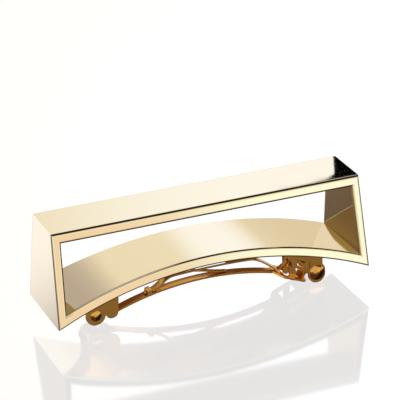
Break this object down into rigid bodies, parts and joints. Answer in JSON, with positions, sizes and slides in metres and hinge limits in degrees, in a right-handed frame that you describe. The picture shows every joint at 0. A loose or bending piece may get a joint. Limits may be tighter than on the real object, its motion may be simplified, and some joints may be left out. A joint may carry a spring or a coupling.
{
  "type": "barrette",
  "caption": "Hair barrette: open arched bridge of polished gold plates on a sprung French clasp with a hinged arm, tension leaf and pinch catch.",
  "frame": {"origin": "middle of the barrette, on the surface that the clasp's finger ears stand on", "axes": "+X along the barrette from the hinge towards the catch, +Y from front to back, +Z from the clasp up to the top face"},
  "size_m": [0.092, 0.026, 0.0327],
  "materials": {
    "polished_gold": "mirror polished pale gold plating",
    "clasp_gold": "bright golden brown plating on spring sheet"
  },
  "bodies": {
    "ornament": {"top_bar": "polished_gold", "end_wall_left": "polished_gold", "end_wall_right": "polished_gold", "arched_band": "polished_gold", "clasp_base": "clasp_gold", "hinge_pin": "clasp_gold", "catch_bracket": "clasp_gold", "catch_rivet": "clasp_gold"},
    "arm": {"closing_arm": "clasp_gold"},
    "leaf": {"tension_leaf": "clasp_gold"},
    "ear_front": {"catch_ear_front": "clasp_gold"},
    "ear_rear": {"catch_ear_rear": "clasp_gold"}
  },
  "joints": [
    {"name": "arm_hinge", "type": "hinge", "parent": "ornament", "child": "arm", "pos_m": [-0.0326, 0, 0.0042], "axis": [0, 1, 0], "range_deg": [0, 60]},
    {"name": "leaf_flex", "type": "hinge", "parent": "arm", "child": "leaf", "pos_m": [-0.0158, 0, 0.0063], "axis": [0, -1, 0], "range_deg": [0, 3]},
    {"name": "ear_front_squeeze", "type": "hinge", "parent": "ornament", "child": "ear_front", "pos_m": [0.03082, -0.0032, 0.01032], "axis": [0.9632, 0, -0.2688], "range_deg": [0, 7], "stiffness_Nm_per_rad": 0.1},
    {"name": "ear_rear_squeeze", "type": "hinge", "parent": "ornament", "child": "ear_rear", "pos_m": [0.03082, 0.0032, 0.01032], "axis": [-0.9632, 0, 0.2688], "range_deg": [0, 7], "stiffness_Nm_per_rad": 0.1}
  ],
  "couplings": [
    {"joint": "leaf_flex", "follows": "arm_hinge", "ratio": 0.05},
    {"joint": "ear_rear_squeeze", "follows": "ear_front_squeeze", "ratio": 1}
  ]
}
